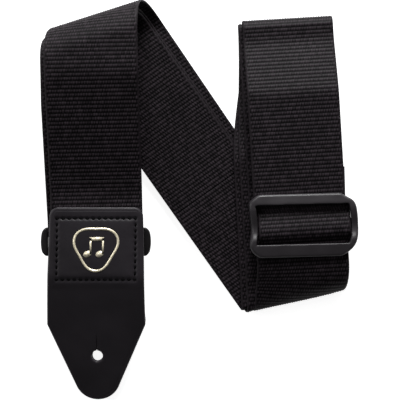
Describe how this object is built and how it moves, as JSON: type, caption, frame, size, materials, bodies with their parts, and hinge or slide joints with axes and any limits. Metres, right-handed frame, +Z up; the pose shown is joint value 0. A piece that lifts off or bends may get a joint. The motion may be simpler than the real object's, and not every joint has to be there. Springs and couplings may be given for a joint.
{
  "type": "guitar strap",
  "caption": "Ribbed webbing guitar strap with leather ends, a loop ring and a three-bar adjuster slide, folded in half and laid flat in an N.",
  "frame": {"origin": "under the middle of the folded strap, on the surface that it lies on", "axes": "+Y up the strap's legs, towards its top folds; +Z up from the surface; +X to the right, from the leather ends to the slide"},
  "size_m": [0.1763, 0.2239, 0.0356],
  "materials": {
    "webbing": "ribbed polypropylene weave",
    "leather": "smooth, fine grain, satin",
    "moulding": "moulded, satin",
    "thread": "twisted thread",
    "foil": "stamped foil"
  },
  "bodies": {
    "webbing": {"web_front_left_leg": "webbing", "web_outer_upper_fold": "webbing", "web_outer_slant": "webbing", "web_outer_lower_fold": "webbing", "web_front_right_leg": "webbing", "web_front_top_run": "webbing", "web_rear_left_leg_upper": "webbing", "web_middle_upper_fold": "webbing", "web_middle_slant": "webbing", "web_middle_lower_fold": "webbing", "web_rear_right_leg_upper": "webbing", "web_rear_top_run_upper": "webbing", "web_rear_left_leg_lower": "webbing", "web_inner_upper_fold": "webbing", "web_inner_slant": "webbing", "web_inner_lower_fold": "webbing", "web_rear_right_leg_lower": "webbing", "web_rear_top_run_lower": "webbing", "web_top_turn_outer": "webbing", "web_top_turn_inner": "webbing", "web_ring_loop": "webbing", "web_fixed_run": "webbing"},
    "front_end": {"leather_end_front": "leather", "web_sewn_end": "webbing", "front_leather_stitching": "thread", "foil_print": "foil"},
    "ring": {"loop_ring": "moulding"},
    "rear_end": {"leather_end_rear": "leather", "rear_leather_stitching": "thread"},
    "slide": {"slide_frame": "moulding", "web_slide_loop": "webbing", "slide_loop_stitching": "thread"}
  },
  "joints": [
    {"name": "slide_travel", "type": "slide", "parent": "webbing", "child": "slide", "axis": [-0.0593, 0.9982, 0], "range_m": [-0.004, 0.034]},
    {"name": "front_end_lift", "type": "hinge", "parent": "webbing", "child": "front_end", "pos_m": [-0.05542, -0.0022, 0.02051], "axis": [-1, 0, 0], "range_deg": [0, 50]},
    {"name": "ring_pivot", "type": "hinge", "parent": "webbing", "child": "ring", "pos_m": [-0.05792, -0.01702, 0.00901], "axis": [-1, 0, 0], "range_deg": [0, 15]},
    {"name": "rear_end_pivot", "type": "hinge", "parent": "ring", "child": "rear_end", "pos_m": [-0.05792, -0.02862, 0.00901], "axis": [-1, 0, 0], "range_deg": [0, 12]}
  ],
  "couplings": [
    {"joint": "ring_pivot", "follows": "front_end_lift", "ratio": 0.3},
    {"joint": "rear_end_pivot", "follows": "front_end_lift", "ratio": 0.24}
  ]
}
